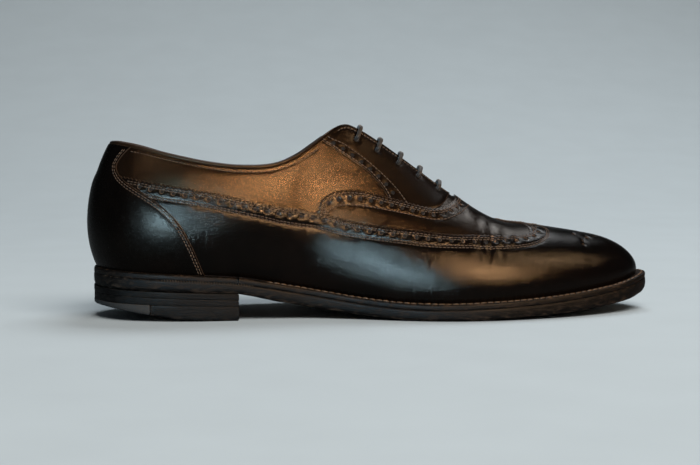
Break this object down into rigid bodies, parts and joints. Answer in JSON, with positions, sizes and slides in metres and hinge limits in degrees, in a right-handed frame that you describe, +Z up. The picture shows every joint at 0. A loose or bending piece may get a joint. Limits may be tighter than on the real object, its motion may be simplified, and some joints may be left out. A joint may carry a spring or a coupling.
{
  "type": "oxford shoe",
  "caption": "Long-wing brogue oxford shoe with closed lacing, welted leather sole and stacked heel; left foot.",
  "frame": {"origin": "on the ground under the middle of the bounding box", "axes": "+X towards the toe, +Y towards the outer (lateral) side, +Z up"},
  "size_m": [0.31, 0.1068, 0.1037],
  "materials": {
    "upper_leather": "polished calf leather, very dark brown, fine grain",
    "sole_leather": "oak-bark sole leather, dark stained edge",
    "welt_leather": "welt leather, stained, worn lighter at the edge",
    "heel_leather": "stacked heel leather, stained",
    "insole_leather": "natural vegetable-tanned",
    "lining_leather": "smooth tan calf lining",
    "stiffener": "raw leather board",
    "cork": "granulated cork paste",
    "shank_steel": "spring steel",
    "brass": "plain",
    "rubber": "matt black, worn",
    "lace_cord": "waxed cotton cord, braided",
    "thread": "waxed linen thread"
  },
  "bodies": {
    "root": {"outsole_rearpart": "sole_leather", "welt": "welt_leather", "heel_rand": "welt_leather", "heel_lift_upper": "heel_leather", "heel_lift_lower": "heel_leather", "top_piece": "heel_leather", "rubber_heel_tip": "rubber", "heel_nails": "brass", "insole": "insole_leather", "cork_filler": "cork", "steel_shank": "shank_steel", "heel_sock": "lining_leather", "heel_stiffener": "stiffener", "wing_cap": "upper_leather", "vamp": "upper_leather", "quarter_medial": "upper_leather", "quarter_lateral": "upper_leather", "heel_counter": "upper_leather", "topline_binding": "upper_leather", "vamp_lining": "lining_leather", "quarter_lining_medial": "lining_leather", "quarter_lining_lateral": "lining_leather", "lace": "lace_cord"},
    "forepart": {"outsole_forepart": "sole_leather", "toe_puff": "stiffener"},
    "tongue": {"tongue": "upper_leather"},
    "facing_medial": {"facing_medial": "upper_leather", "eyelets_medial": "brass"},
    "facing_lateral": {"facing_lateral": "upper_leather", "eyelets_lateral": "brass"}
  },
  "joints": [
    {"name": "ball_flex", "type": "hinge", "parent": "root", "child": "forepart", "pos_m": [0.0561, 0, 0.01], "axis": [0, -1, 0], "range_deg": [0, 30], "stiffness_Nm_per_rad": 1.2, "deforming": ["wing_cap", "vamp", "vamp_lining", "welt", "insole", "cork_filler"]},
    {"name": "tongue_press", "type": "hinge", "parent": "root", "child": "tongue", "pos_m": [0.0555, 0, 0.0505], "axis": [0, -1, 0], "range_deg": [0, 18], "stiffness_Nm_per_rad": 0.15},
    {"name": "facing_spread_medial", "type": "hinge", "parent": "root", "child": "facing_medial", "pos_m": [0.04292, -0.01394, 0.06467], "axis": [0.9666, 0.2054, -0.153], "range_deg": [0, 12], "stiffness_Nm_per_rad": 0.3, "deforming": ["quarter_medial", "quarter_lining_medial", "lace"]},
    {"name": "facing_spread_lateral", "type": "hinge", "parent": "root", "child": "facing_lateral", "pos_m": [0.04292, -0.00098, 0.06458], "axis": [-0.9281, 0.3442, 0.1417], "range_deg": [0, 12], "stiffness_Nm_per_rad": 0.3, "deforming": ["quarter_lateral", "quarter_lining_lateral", "lace"]}
  ],
  "couplings": [
    {"joint": "facing_spread_lateral", "follows": "facing_spread_medial", "ratio": 1}
  ]
}
